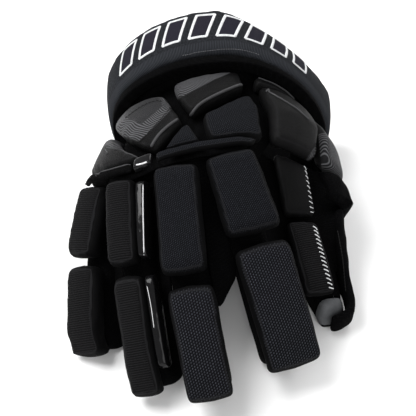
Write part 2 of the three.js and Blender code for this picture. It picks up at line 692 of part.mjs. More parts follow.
// The padded cuff: the band, the knitted strip at its finger side and the flat panel underneath
function addCuff() {
  const onCuff = (u, v, high) => cuffPoint(u, v, CUFF_PADDING - high);
  const edge = 1 - TRIM_LENGTH / CUFF_LENGTH;
  add('cuff_roll', pillow(onCuff, rectangle(0, 1, 0, edge), 0, CUFF_PADDING, 16, 2), 'cuff');
  add('cuff_trim', pillow(onCuff, rectangle(0, 1, edge + GAP / CUFF_LENGTH, 1), 0,
    CUFF_PADDING * TRIM_DEPTH, 16, 1), 'knit');
  const left = cuffPoint(0, 0.5, 0);
  const right = cuffPoint(1, 0.5, 0);
  const [leftX] = turned(left.x, left.y, -1);
  const [rightX] = turned(right.x, right.y, -1);
  const place = (z) => (x, y) => {
    const [px, py] = turned(x, y, 1);
    return new THREE.Vector3(px, py, z);
  };
  const across = spread(leftX + PANEL_SIDE, rightX - PANEL_SIDE, 2);
  const onward = spread(CUFF_LENGTH - CUFF_FRONT - PANEL_INSET, -CUFF_FRONT, 2);
  add('cuff_panel', between(grid(place(PANEL_THICKNESS), across, onward), grid(place(0), across, onward)),
    'knit');
}

addCuff();
addHand();
addPalm();
fingers.forEach(addFinger);
fingers.slice(1).forEach((finger, k) => addWeb(fingers[k], finger));
addThumb();
addThumbEdge();

export default glove;
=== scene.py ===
import math

import bmesh
import bpy
import numpy as np
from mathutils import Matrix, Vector, noise
from mathutils.bvhtree import BVHTree


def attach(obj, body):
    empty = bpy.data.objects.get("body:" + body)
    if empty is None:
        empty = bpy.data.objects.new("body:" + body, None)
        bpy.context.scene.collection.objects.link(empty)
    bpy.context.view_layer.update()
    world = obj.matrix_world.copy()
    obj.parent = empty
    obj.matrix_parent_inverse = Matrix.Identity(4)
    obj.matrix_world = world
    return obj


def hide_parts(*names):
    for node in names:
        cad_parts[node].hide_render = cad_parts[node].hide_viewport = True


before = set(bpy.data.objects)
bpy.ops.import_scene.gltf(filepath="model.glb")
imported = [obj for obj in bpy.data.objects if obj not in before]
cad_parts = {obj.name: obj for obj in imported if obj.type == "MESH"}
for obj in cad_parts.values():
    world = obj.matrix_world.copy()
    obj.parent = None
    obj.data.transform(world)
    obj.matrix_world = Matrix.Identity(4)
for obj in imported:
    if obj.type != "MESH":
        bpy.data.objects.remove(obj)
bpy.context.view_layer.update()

# The studio: a pale floor that the glove lies on, a camera half above it, and wide soft lights. The
# camera stands where the photograph was taken from.
CAMERA_TARGET = Vector((-0.031, -0.135, 0.075))
CAMERA_AZIMUTH = math.radians(-9.5)
CAMERA_ELEVATION = math.radians(45)
CAMERA_DISTANCE = 0.65
CAMERA_LENS = 83.08
PHOTO_SIZE = 416
PHOTO_FOCAL = PHOTO_SIZE * CAMERA_LENS / 36
FLOOR_SIZE = 6.0
FLOOR_COLOUR = (0.86, 0.86, 0.86, 1)
SKY_COLOUR = (1, 1, 1, 1)
SKY_STRENGTH = 0.55
LIGHTS = [
    {"name": "key", "place": (-0.75, 0.15, 1.25), "size": 0.9, "watts": 26},
    {"name": "front", "place": (0.1, -1.3, 0.9), "size": 1.0, "watts": 9},
    {"name": "rim", "place": (0.7, 0.9, 1.0), "size": 0.8, "watts": 10},
]


def node(tree, kind, inputs=None, **settings):
    made = tree.nodes.new(kind)
    for name, value in settings.items():
        setattr(made, name, value)
    for socket, value in (inputs or {}).items():
        if isinstance(value, bpy.types.NodeSocket):
            tree.links.new(value, made.inputs[socket])
        else:
            made.inputs[socket].default_value = value
    return made


def calc(tree, operation, first, second=0.0, third=0.0):
    return node(tree, "ShaderNodeMath", {0: first, 1: second, 2: third}, operation=operation).outputs[0]


def between(tree, value, low, high, start=0.0, end=1.0):
    kit = {"Value": value, "From Min": low, "From Max": high, "To Min": start, "To Max": end}
    return node(tree, "ShaderNodeMapRange", kit, interpolation_type="SMOOTHSTEP").outputs[0]


def blend_colours(tree, share, first, second):
    return node(tree, "ShaderNodeMix", {0: share, 6: first, 7: second}, data_type="RGBA").outputs[2]


def new_material(name, **shader):
    material = bpy.data.materials.new(name)
    material.use_nodes = True
    material.node_tree.nodes.clear()
    tree = material.node_tree
    surface = node(tree, "ShaderNodeBsdfPrincipled", shader)
    node(tree, "ShaderNodeOutputMaterial", {"Surface": surface.outputs[0]})
    return material, tree, surface


def raised(tree, surface, height, distance, strength=1.0):
    bump = node(tree, "ShaderNodeBump", {"Height": height, "Distance": distance, "Strength": strength})
    tree.links.new(bump.outputs[0], surface.inputs["Normal"])


def mesh_object(name, vertices, faces):
    mesh = bpy.data.meshes.new(name)
    mesh.from_pydata([tuple(v) for v in vertices], [], faces)
    mesh.update()
    piece = bpy.data.objects.new(name, mesh)
    bpy.context.scene.collection.objects.link(piece)
    return piece


def camera_way():
    level = math.cos(CAMERA_ELEVATION)
    return Vector((
        math.sin(CAMERA_AZIMUTH) * level,
        -math.cos(CAMERA_AZIMUTH) * level,
        math.sin(CAMERA_ELEVATION),
    ))


def build_studio():
    scene = bpy.context.scene
    scene.view_settings.view_transform = "Standard"
    eye = bpy.data.cameras.new("camera")
    eye.lens = CAMERA_LENS
    camera = bpy.data.objects.new("camera", eye)
    scene.collection.objects.link(camera)
    way = camera_way()
    camera.location = CAMERA_TARGET + way * CAMERA_DISTANCE
    camera.rotation_euler = (-way).to_track_quat("-Z", "Y").to_euler()
    scene.camera = camera

    world = bpy.data.worlds.new("sky")
    world.use_nodes = True
    background = world.node_tree.nodes["Background"]
    background.inputs[0].default_value = SKY_COLOUR
    background.inputs[1].default_value = SKY_STRENGTH
    scene.world = world
    for light in LIGHTS:
        lamp = bpy.data.lights.new(light["name"], "AREA")
        lamp.size = light["size"]
        lamp.energy = light["watts"]
        body = bpy.data.objects.new(light["name"], lamp)
        body.location = light["place"]
        body.rotation_euler = (CAMERA_TARGET - body.location).to_track_quat("-Z", "Y").to_euler()
        scene.collection.objects.link(body)

    half = FLOOR_SIZE / 2
    corners = [(-half, -half, 0), (half, -half, 0), (half, half, 0), (-half, half, 0)]
    floor = mesh_object("floor", corners, [(0, 1, 2, 3)])
    pale, _, surface = new_material("pale_floor", Roughness=0.9)
    surface.inputs["Base Color"].default_value = FLOOR_COLOUR
    floor.data.materials.append(pale)


build_studio()


# The shell of the glove: the hollow back of the hand, the finger stalls and the thumb's stall, sewn from
# a fine black knit that shows in the gaps between the pads.
SHELL_NODES = ["hand_back", "pinky_stall", "ring_stall", "middle_stall", "index_stall", "thumb_stall",
               "ring_web", "middle_web", "index_web"]
KNIT_DARK = (0.0008, 0.0008, 0.0009, 1)
KNIT_LIGHT = (0.0045, 0.0045, 0.005, 1)
KNIT_PITCH = 0.0012
CLOTH_SHINE = 0.03
WEB_FULLER = 0.0012
STALL_FULLER = 0.0004


def merged_copy(node_name, name):
    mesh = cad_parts[node_name].data.copy()
    mesh.name = name
    mesh.materials.clear()
    shape = bmesh.new()
    shape.from_mesh(mesh)
    bmesh.ops.remove_doubles(shape, verts=shape.verts, dist=1e-6)
    shape.to_mesh(mesh)
    shape.free()
    piece = bpy.data.objects.new(name, mesh)
    bpy.context.scene.collection.objects.link(piece)
    return piece


def applied(piece):
    shaped = bpy.data.meshes.new_from_object(piece.evaluated_get(bpy.context.evaluated_depsgraph_get()))
    piece.modifiers.clear()
    old = piece.data
    piece.data = shaped
    bpy.data.meshes.remove(old)
    return piece


def subdivided(piece, levels):
    rounder = piece.modifiers.new("rounder", "SUBSURF")
    rounder.levels = levels
    rounder.render_levels = levels
    return applied(piece)


def shade_smooth(piece):
    piece.data.polygons.foreach_set("use_smooth", [True] * len(piece.data.polygons))
    piece.data.update()
    return piece


def points_of(mesh):
    flat = np.empty(len(mesh.vertices) * 3)
    mesh.vertices.foreach_get("co", flat)
    return flat.reshape(-1, 3)


def normals_of(mesh):
    flat = np.empty(len(mesh.vertices) * 3)
    mesh.vertex_normals.foreach_get("vector", flat)
    return flat.reshape(-1, 3)


def set_points(mesh, points):
    mesh.vertices.foreach_set("co", np.asarray(points).ravel())
    mesh.update()


def finish_piece(piece, slot, *replaced):
    if replaced:
        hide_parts(*replaced)
    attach(piece, "root")
    return piece


def rumpled(piece, height, size, seed):
    points = points_of(piece.data)
    away = Vector((seed * 7.3, seed * 3.1, seed * 5.7))
    drop = np.array([noise.noise(Vector(point) / size + away) - 0.6 for point in points])
    set_points(piece.data, points + normals_of(piece.data) * drop[:, None] * height)
    return piece


def knit_material(name, dark, light):
    material, tree, surface = new_material(name, Roughness=0.9)
    surface.inputs["Specular IOR Level"].default_value = CLOTH_SHINE
    place = node(tree, "ShaderNodeTexCoord").outputs["Object"]
    loops = node(tree, "ShaderNodeTexVoronoi",
                 {"Vector": place, "Scale": 1 / KNIT_PITCH, "Randomness": 0.35})
    wear = node(tree, "ShaderNodeTexNoise", {"Vector": place, "Scale": 60.0, "Detail": 4.0})
    share = calc(tree, "MULTIPLY", between(tree, loops.outputs["Distance"], 0.6, 0.1), wear.outputs[0])
    colour = blend_colours(tree, share, dark, light)
    tree.links.new(colour, surface.inputs["Base Color"])
    raised(tree, surface, share, 0.0004)
    return material


black_knit = knit_material("black_knit", KNIT_DARK, KNIT_LIGHT)
made = {}
for number, shell_name in enumerate(SHELL_NODES):
    shell = shade_smooth(subdivided(merged_copy(shell_name, f"{shell_name}_cloth"), 2))
    fuller = WEB_FULLER if shell_name.endswith("web") else STALL_FULLER
    set_points(shell.data, points_of(shell.data) + normals_of(shell.data) * fuller)
    rumpled(shell, 0.0005, 0.012, number)
    shell.data.materials.append(black_knit)
    made[shell_name] = finish_piece(shell, "knit", shell_name)


# The padded pieces: foam cut to shape and covered with cloth, blown up a little by the foam so that the
# cloth is tight. Each one is swollen by a cloth simulation from a slightly smaller start.
SHRINK = 0.0003
SWELL_PRESSURE = 60.0
SWELL_CAP = 0.0009
SWELL_FRAMES = 20
FINGER_VOXEL = 0.0019
BACK_VOXEL = 0.0022
EASE_SHARE = 0.5
EASE_BEFORE = 1
EASE_AFTER = 5
CALM_ROUNDS = 6


def remeshed(piece, voxel):
    skin = piece.modifiers.new("voxels", "REMESH")
    skin.mode = "VOXEL"
    skin.voxel_size = voxel
    return applied(piece)


def eased(piece, rounds):
    ease = piece.modifiers.new("ease", "SMOOTH")
    ease.factor = EASE_SHARE
    ease.iterations = rounds
    return applied(piece)


def swollen(pieces):
    starts = [points_of(piece.data) for piece in pieces]
    for piece in pieces:
        cloth = piece.modifiers.new("cover", "CLOTH")
        cloth.settings.quality = 4
        cloth.settings.mass = 0.2
        cloth.settings.tension_stiffness = 6
        cloth.settings.compression_stiffness = 6
        cloth.settings.shear_stiffness = 3
        cloth.settings.bending_stiffness = 0.3
        cloth.settings.use_pressure = True
        cloth.settings.uniform_pressure_force = SWELL_PRESSURE
        cloth.settings.effector_weights.gravity = 0
        cloth.point_cache.frame_start = 1
        cloth.point_cache.frame_end = SWELL_FRAMES
    scene = bpy.context.scene
    for number in range(1, SWELL_FRAMES + 1):
        scene.frame_set(number)
    seen = bpy.context.evaluated_depsgraph_get()
    ends = [points_of(piece.evaluated_get(seen).data) for piece in pieces]
    for piece, start, end in zip(pieces, starts, ends):
        piece.modifiers.clear()
        move = end - start
        length = np.maximum(np.linalg.norm(move, axis=1, keepdims=True), 1e-9)
        set_points(piece.data, start + move * np.minimum(1, SWELL_CAP / length))
    scene.frame_set(1)


def local_frame(node_name, finger):
    points = points_of(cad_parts[node_name].data)
    centre = (points.min(axis=0) + points.max(axis=0)) / 2
    _, ways = np.linalg.eigh(np.cov((points - centre).T))
    out = ways[:, 0] * (1 if ways[2, 0] > 0 else -1)
    up = ways[:, 2] if finger else np.array([0.0, 1.0, 0.0])
    up = up - out * (up @ out)
    up = up / np.linalg.norm(up) * (1 if up[1] > 0 else -1)
    return centre, np.array([np.cross(up, out), up, out])


def calm_normals(mesh):
    ends = np.empty(len(mesh.edges) * 2, dtype=int)
    mesh.edges.foreach_get("vertices", ends)
    first, second = ends.reshape(-1, 2).T
    normals = normals_of(mesh)
    for _ in range(CALM_ROUNDS):
        total = normals.copy()
        np.add.at(total, first, normals[second])
        np.add.at(total, second, normals[first])
        normals = total / np.linalg.norm(total, axis=1, keepdims=True)
    return normals


def store_places(piece, centre, axes):
    local = (points_of(piece.data) - centre) @ axes.T
    facing = calm_normals(piece.data) @ axes.T
    for name, values in (("place", local), ("facing", facing)):
        layer = piece.data.attributes.new(name, "FLOAT_VECTOR", "POINT")
        layer.data.foreach_set("vector", values.ravel())
    reach = np.abs(local[:, :2]).max(axis=0)
    store_number(piece, "inset", (reach - np.abs(local[:, :2])).min(axis=1))
    store_number(piece, "side", reach[0] - np.abs(local[:, 0]))


def store_number(piece, name, values):
    layer = piece.data.attributes.new(name, "FLOAT", "POINT")
    layer.data.foreach_set("value", np.asarray(values, dtype=float))


def padded_pieces(names, voxel, finger):
    pieces = []
    for name in names:
        piece = remeshed(merged_copy(name, f"{name}_foam"), voxel)
        piece = eased(piece, EASE_BEFORE)
        set_points(piece.data, points_of(piece.data) - normals_of(piece.data) * SHRINK)
        pieces.append(piece)
    swollen(pieces)
    for name, piece in zip(names, pieces):
        shade_smooth(subdivided(eased(piece, EASE_AFTER), 1))
        store_places(piece, *local_frame(name, finger))
    return pieces


# The places of the sewn details, found along the line of sight of a point of the photograph, so each one
# lies on the piece that carries it.
def seen_from_camera(points):
    way = np.array(camera_way())
    right = np.array((math.cos(CAMERA_AZIMUTH), math.sin(CAMERA_AZIMUTH), 0))
    up = np.cross(way, right)
    eye = np.array(CAMERA_TARGET) + way * CAMERA_DISTANCE
    depth = -(points - eye) @ way
    across = PHOTO_SIZE / 2 + PHOTO_FOCAL * ((points - eye) @ right) / depth
    down = PHOTO_SIZE / 2 - PHOTO_FOCAL * ((points - eye) @ up) / depth
    return np.stack([across, down], axis=1), depth


def sight(spot):
    way = camera_way()
    right = Vector((math.cos(CAMERA_AZIMUTH), math.sin(CAMERA_AZIMUTH), 0))
    up = way.cross(right)
    across = (spot[0] - PHOTO_SIZE / 2) / PHOTO_FOCAL
    down = (spot[1] - PHOTO_SIZE / 2) / PHOTO_FOCAL
    return CAMERA_TARGET + way * CAMERA_DISTANCE, (right * across - up * down - way).normalized()


def surface_of(*pieces):
    vertices, faces = [], []
    for piece in pieces:
        first = len(vertices)
        vertices += [v.co for v in piece.data.vertices]
        faces += [[first + k for k in p.vertices] for p in piece.data.polygons]
    return BVHTree.FromPolygons(vertices, faces)


def landed(surface, spot):
    eye, way = sight(spot)
    hit, normal, _, _ = surface.ray_cast(eye, way)
    if hit is None:
        near = surface.find_nearest(eye + way * CAMERA_DISTANCE)
        for _ in range(4):
            near = surface.find_nearest(eye + way * (near[0] - eye).dot(way))
        hit, normal = near[0], near[1]
    return hit, normal


def smooth_line(spots, steps=8):
    rows = [spots[0]] + list(spots) + [spots[-1]]
    line = []
    for k in range(1, len(rows) - 2):
        a, b, c, d = (np.array(row, dtype=float) for row in rows[k - 1:k + 3])
        for t in np.linspace(0, 1, steps, endpoint=False):
            bend = (2 * a - 5 * b + 4 * c - d) * t ** 2 + (3 * b - a - 3 * c + d) * t ** 3
            line.append((2 * b + (c - a) * t + bend) / 2)
    return line + [np.array(spots[-1], dtype=float)]


def laid_line(surface, spots, steps=8):
    places = [landed(surface, spot) for spot in smooth_line(spots, steps)]
    return [place[0] for place in places], [place[1] for place in places]


def zone(piece, name, outline):
    spots, depth = seen_from_camera(points_of(piece.data))
    corners = np.array(outline, dtype=float)
    inside = np.zeros(len(spots), dtype=bool)
    distance = np.full(len(spots), 1e9)
    for first, second in zip(corners, np.roll(corners, -1, axis=0)):
        edge = second - first
        share = np.clip(((spots - first) @ edge) / (edge @ edge), 0, 1)
        distance = np.minimum(distance, np.linalg.norm(spots - first - share[:, None] * edge, axis=1))
        crosses = (first[1] > spots[:, 1]) != (second[1] > spots[:, 1])
        with np.errstate(divide="ignore", invalid="ignore"):
            meet = first[0] + (spots[:, 1] - first[1]) * edge[0] / edge[1]
        inside ^= crosses & (spots[:, 0] < meet)
    store_number(piece, name, np.where(inside, distance, -distance) * depth / PHOTO_FOCAL)


# The knit linings: strips of stretch knit that close the shell between the back of the hand and the
# fingers, between the first finger and the thumb, and between the thumb and its rolled edge. Each one is
# sewn to the pieces on both its sides, and hangs a little slack between them.
LINING_THICKNESS = 0.0008
LINING_STEPS = 8
LINING_SINK = 0.0006
LINE_STEPS = 5
KNUCKLE_SLACK = 0.002
KNUCKLE_BACK_PIXELS = [(90, 172), (110, 168), (135, 163), (160, 158), (200, 150), (240, 142), (274, 136)]
KNUCKLE_FRONT_PIXELS = [(92, 193), (108, 191), (135, 190), (160, 186), (200, 178), (240, 170), (278, 166)]
THUMB_ROOT_SLACK = 0.003
ROOT_INDEX_PIXELS = [(256, 152), (260, 172), (264, 195), (266, 225), (276, 250)]
ROOT_THUMB_PIXELS = [(282, 152), (285, 175), (289, 200), (292, 230), (298, 252)]


def outward(piece):
    shape = bmesh.new()
    shape.from_mesh(piece.data)
    bmesh.ops.recalc_face_normals(shape, faces=shape.faces)
    shape.to_mesh(piece.data)
    shape.free()
    return piece


def lining(name, first, second, slack=0.0, material=black_knit, slot="knit"):
    rows = []
    for (a, a_normal), (b, b_normal) in zip(first, second):
        start = a - a_normal * LINING_SINK
        end = b - b_normal * LINING_SINK
        row = []
        for step in range(LINING_STEPS + 1):
            share = step / LINING_STEPS
            row.append(start.lerp(end, share) - Vector((0, 0, slack * math.sin(math.pi * share))))
        rows.append(row)
    grid = np.array([[tuple(spot) for spot in row] for row in rows])
    ways = np.cross(np.gradient(grid, axis=1), np.gradient(grid, axis=0))
    ways /= np.maximum(np.linalg.norm(ways, axis=2, keepdims=True), 1e-9)
    across = LINING_STEPS + 1
    half = len(rows) * across
    vertices = np.concatenate([(grid + ways * LINING_THICKNESS / 2).reshape(-1, 3),
                               (grid - ways * LINING_THICKNESS / 2).reshape(-1, 3)])
    faces = []
    for i in range(len(rows) - 1):
        for j in range(LINING_STEPS):
            a = i * across + j
            faces.append((a, a + 1, a + across + 1, a + across))
            faces.append((half + a, half + a + across, half + a + across + 1, half + a + 1))
    border = list(range(across))
    border += [i * across + across - 1 for i in range(1, len(rows))]
    border += [half - 1 - i for i in range(1, across)]
    border += [i * across for i in range(len(rows) - 2, 0, -1)]
    for a, b in zip(border, border[1:] + border[:1]):
        faces.append((a, b, half + b, half + a))
    piece = outward(mesh_object(name, vertices, faces))
    piece.data.materials.append(material)
    shade_smooth(subdivided(piece, 1))
    return finish_piece(piece, slot)


def on_pieces(names, spots):
    surface = surface_of(*[made[name] for name in names])
    return [landed(surface, spot) for spot in smooth_line(spots, LINE_STEPS)]


def nearest_to(names, spots):
    surface = surface_of(*[made[name] for name in names])
    return [surface.find_nearest(Vector(spot))[:2] for spot in spots]


finger_shells = [name for name in SHELL_NODES if name != "hand_back"]
lining("knuckle_lining", on_pieces(["hand_back"], KNUCKLE_BACK_PIXELS),
       on_pieces(finger_shells, KNUCKLE_FRONT_PIXELS), KNUCKLE_SLACK)
lining("thumb_root_lining",
       on_pieces(["index_stall", "hand_back"], ROOT_INDEX_PIXELS),
       on_pieces(["thumb_stall"], ROOT_THUMB_PIXELS), THUMB_ROOT_SLACK)


# A sewn-on cord or piping: a flat oval tube that is sunk a little into the pad under it
PIPE_SIDES = 8


def piping(name, places, normals, width, height, material, slot):
    vertices, faces = [], []
    count = len(places)
    for k, (place, normal) in enumerate(zip(places, normals)):
        onward = (places[min(k + 1, count - 1)] - places[max(k - 1, 0)]).normalized()
        across = onward.cross(normal).normalized()
        taper = 0.35 if k in (0, count - 1) else 1
        for side in range(PIPE_SIDES):
            angle = 2 * math.pi * side / PIPE_SIDES
            spot = place + across * math.cos(angle) * width / 2 * taper
            vertices.append(spot + normal * (math.sin(angle) * height * taper + height * 0.25))
    for k in range(count - 1):
        for side in range(PIPE_SIDES):
            a, b = k * PIPE_SIDES + side, k * PIPE_SIDES + (side + 1) % PIPE_SIDES
            faces.append((a, a + PIPE_SIDES, b + PIPE_SIDES, b))
    faces.append(tuple(range(PIPE_SIDES)))
    faces.append(tuple(reversed(range((count - 1) * PIPE_SIDES, count * PIPE_SIDES))))
    piece = outward(mesh_object(name, vertices, faces))
    piece.data.materials.append(material)
    shade_smooth(subdivided(piece, 1))
    return finish_piece(piece, slot)


# Rows of stitches: one short thread, bowed up in its middle, is repeated along a line on the surface
STITCH_BOW = 1.3
STITCH_STRAY = 0.07
STITCH_INPUTS = [
    ("Pitch", "NodeSocketFloat"), ("Stitch Length", "NodeSocketFloat"), ("Thickness", "NodeSocketFloat"),
    ("Slant", "NodeSocketFloat"), ("Seed", "NodeSocketInt"), ("Thread", "NodeSocketMaterial"),
]


def stitch_group():
    group = bpy.data.node_groups.new("stitches", "GeometryNodeTree")
    group.interface.new_socket("Geometry", in_out="INPUT", socket_type="NodeSocketGeometry")
    for name, kind in STITCH_INPUTS:
        group.interface.new_socket(name, in_out="INPUT", socket_type=kind)
    group.interface.new_socket("Geometry", in_out="OUTPUT", socket_type="NodeSocketGeometry")
    given = node(group, "NodeGroupInput").outputs
    curve = node(group, "GeometryNodeMeshToCurve", {0: given["Geometry"]}).outputs[0]
    even = node(group, "GeometryNodeResampleCurve", {"Curve": curve, "Length": given["Pitch"]},
                mode="LENGTH")
    half = calc(group, "MULTIPLY", given["Stitch Length"], 0.5)
    start = node(group, "ShaderNodeCombineXYZ", {0: calc(group, "MULTIPLY", half, -1.0)}).outputs[0]
    bowed = calc(group, "MULTIPLY", given["Thickness"], STITCH_BOW)
    middle = node(group, "ShaderNodeCombineXYZ", {2: bowed}).outputs[0]
    end = node(group, "ShaderNodeCombineXYZ", {0: half}).outputs[0]
    bow = node(group, "GeometryNodeCurveQuadraticBezier",
               {"Resolution": 4, "Start": start, "Middle": middle, "End": end}).outputs[0]
    ring = node(group, "GeometryNodeCurvePrimitiveCircle", {"Resolution": 5}).outputs[0]
    radius = calc(group, "MULTIPLY", given["Thickness"], 0.5)
    size = node(group, "ShaderNodeCombineXYZ", {0: radius, 1: radius, 2: radius}).outputs[0]
    ring = node(group, "GeometryNodeTransform", {"Geometry": ring, "Scale": size}).outputs[0]
    thread = node(group, "GeometryNodeCurveToMesh", {"Curve": bow, "Profile Curve": ring, "Fill Caps": True})
    face = node(group, "GeometryNodeInputNamedAttribute", {"Name": "face"},
                data_type="FLOAT_VECTOR").outputs[0]
    upright = node(group, "FunctionNodeAlignRotationToVector", {"Vector": face}, axis="Z").outputs[0]
    tangent = node(group, "GeometryNodeInputTangent").outputs[0]
    along = node(group, "FunctionNodeAlignRotationToVector", {"Rotation": upright, "Vector": tangent},
                 axis="X", pivot_axis="Z").outputs[0]
    chance = node(group, "FunctionNodeRandomValue",
                  {"Min": -STITCH_STRAY, "Max": STITCH_STRAY, "Seed": given["Seed"]})
    chance = [out for out in chance.outputs if out.enabled][0]
    turn = node(group, "ShaderNodeCombineXYZ", {2: calc(group, "ADD", given["Slant"], chance)}).outputs[0]
    turn = node(group, "FunctionNodeEulerToRotation", {0: turn}).outputs[0]
    aimed = node(group, "FunctionNodeRotateRotation", {0: along, 1: turn}, rotation_space="LOCAL").outputs[0]
    many = node(group, "GeometryNodeInstanceOnPoints",
                {"Points": even.outputs[0], "Instance": thread.outputs[0], "Rotation": aimed}).outputs[0]
    solid = node(group, "GeometryNodeRealizeInstances", {0: many}).outputs[0]
    rounded = node(group, "GeometryNodeSetShadeSmooth", {0: solid}).outputs[0]
    painted = node(group, "GeometryNodeSetMaterial",
                   {"Geometry": rounded, "Material": given["Thread"]}).outputs[0]
    node(group, "NodeGroupOutput", {0: painted})
    return group


stitch_nodes = stitch_group()


def stitches(name, lines, material, slot, pitch, length, thickness, slant=0.0, seed=1):
    vertices, faces, edges = [], [], []
    for places, normals in lines:
        first = len(vertices)
        vertices += list(places)
        faces += list(normals)
        edges += [(first + k, first + k + 1) for k in range(len(places) - 1)]
    mesh = bpy.data.meshes.new(name)
    mesh.from_pydata([tuple(v) for v in vertices], edges, [])
    layer = mesh.attributes.new("face", "FLOAT_VECTOR", "POINT")
    layer.data.foreach_set("vector", np.array(faces).ravel())
    piece = bpy.data.objects.new(name, mesh)
    bpy.context.scene.collection.objects.link(piece)
    maker = piece.modifiers.new("stitches", "NODES")
    maker.node_group = stitch_nodes
    values = dict(zip([row[0] for row in STITCH_INPUTS], [pitch, length, thickness, slant, seed, material]))
    for item in stitch_nodes.interface.items_tree:
        if item.in_out == "INPUT" and item.name in values:
            maker[item.identifier] = values[item.name]
    piece.update_tag()
    applied(piece)
    return finish_piece(piece, slot)


def thread_material(name, colour, roughness):
    material, tree, surface = new_material(name, Roughness=roughness)
    surface.inputs["Specular IOR Level"].default_value = 0.2
    place = node(tree, "ShaderNodeTexCoord").outputs["Object"]
    twist = node(tree, "ShaderNodeTexNoise", {"Vector": place, "Scale": 2200.0, "Detail": 1.0}).outputs[0]
    worn = tuple(part * 0.55 for part in colour[:3]) + (1,)
    tree.links.new(blend_colours(tree, between(tree, twist, 0.35, 0.6), worn, colour),
                   surface.inputs["Base Color"])
    raised(tree, surface, twist, 0.0001)
    return material


white_thread = thread_material("white_thread", (0.72, 0.73, 0.74, 1), 0.55)
grey_thread = thread_material("grey_thread", (0.16, 0.16, 0.17, 1), 0.6)
black_thread = thread_material("black_thread", (0.004, 0.004, 0.004, 1), 0.6)


# The rib pads of the little and the ring finger and of the thumb's tip: black cloth with fine raised ribs
# across the finger between two smooth bands, over foam, with plain dark cloth on the sides, and a raised
# seam along the top edge that is painted lighter as a highlight.
RIB_PADS = ["pinky_near_pad", "pinky_far_pad", "ring_near_pad", "ring_far_pad", "thumb_far_pad"]
RIB_PITCH = 0.0015
RIB_LOW = (0.0016, 0.0016, 0.0018, 1)
RIB_HIGH = (0.0105, 0.0102, 0.011, 1)
BAND_COLOUR = (0.0036, 0.0035, 0.0037, 1)
BAND_WIDTH = 0.0036
SIDE_COLOUR = (0.0016, 0.0016, 0.0018, 1)
# Painted highlight: the lighter colour laid on the seam band along the top edge of each pad.
SEAM_HIGHLIGHT_COLOUR = (0.012, 0.012, 0.013, 1)
SIDE_START = 0.72
SIDE_END = 0.5


def place_and_top(tree):
    place = node(tree, "ShaderNodeAttribute", attribute_name="place").outputs["Vector"]
    facing = node(tree, "ShaderNodeAttribute", attribute_name="facing").outputs["Vector"]
    parts = node(tree, "ShaderNodeSeparateXYZ", {0: place})
    outward = node(tree, "ShaderNodeSeparateXYZ", {0: facing}).outputs[2]
    top = between(tree, outward, SIDE_END, SIDE_START)
    # seam: the band between a pad's top and its sides; it is raised by the bump and painted lighter as a
    # highlight.
    seam = calc(tree, "MULTIPLY", between(tree, outward, 0.62, 0.7), between(tree, outward, 0.84, 0.76))
    return place, parts, top, seam


def number_of(tree, name):
    return node(tree, "ShaderNodeAttribute", attribute_name=name).outputs["Fac"]


def rib_material():
    material, tree, surface = new_material("rib_cloth", Roughness=0.75)
    surface.inputs["Specular IOR Level"].default_value = CLOTH_SHINE * 2
    place, parts, top, seam = place_and_top(tree)
    turn = calc(tree, "MULTIPLY", parts.outputs[1], 2 * math.pi / RIB_PITCH)
    rib = calc(tree, "MULTIPLY_ADD", calc(tree, "SINE", turn), 0.5, 0.5)
    fleck = node(tree, "ShaderNodeTexNoise", {"Vector": place, "Scale": 1400.0, "Detail": 2.0})
    rib = calc(tree, "MULTIPLY", rib, between(tree, fleck.outputs[0], 0.2, 0.7, 0.45, 1.0))
    ribbed = between(tree, number_of(tree, "side"), BAND_WIDTH, BAND_WIDTH + 0.0006)
    cloth = blend_colours(tree, rib, RIB_LOW, RIB_HIGH)
    cloth = blend_colours(tree, ribbed, BAND_COLOUR, cloth)
    colour = blend_colours(tree, top, SIDE_COLOUR, cloth)
    # Painted highlight on the top-edge seam.
    colour = blend_colours(tree, calc(tree, "MULTIPLY", seam, 0.7), colour, SEAM_HIGHLIGHT_COLOUR)
    tree.links.new(colour, surface.inputs["Base Color"])
    height = calc(tree, "MULTIPLY", calc(tree, "MULTIPLY", rib, ribbed), top)
    raised(tree, surface, calc(tree, "ADD", height, calc(tree, "MULTIPLY", seam, 0.8)), 0.0005)
    return material


rib_cloth = rib_material()
for pad in padded_pieces(RIB_PADS, FINGER_VOXEL, True):
    pad.data.materials.append(rib_cloth)
    made[pad.name.replace("_foam", "")] = finish_piece(pad, "rib_fabric", pad.name.replace("_foam", ""))


# The mesh pads of the middle and the index finger: open mesh cloth with staggered knots, bluish black,
# over foam. The knots are larger on the two far pads.
MESH_PADS = ["middle_near_pad", "middle_far_pad", "index_near_pad", "index_far_pad"]
MESH_BACK_PADS = ["pad_centre", "pad_outer_mesh", "knuckle_mesh"]
MESH_PITCH = 0.00145
COARSE_PITCH = 0.0019
MESH_TURN = math.radians(27)
MESH_LONG = 1.7
MESH_HOLE = (0.0024, 0.0026, 0.0034, 1)
MESH_KNOT = (0.025, 0.0273, 0.0345, 1)
COARSE_KNOT = (0.046, 0.0485, 0.059, 1)


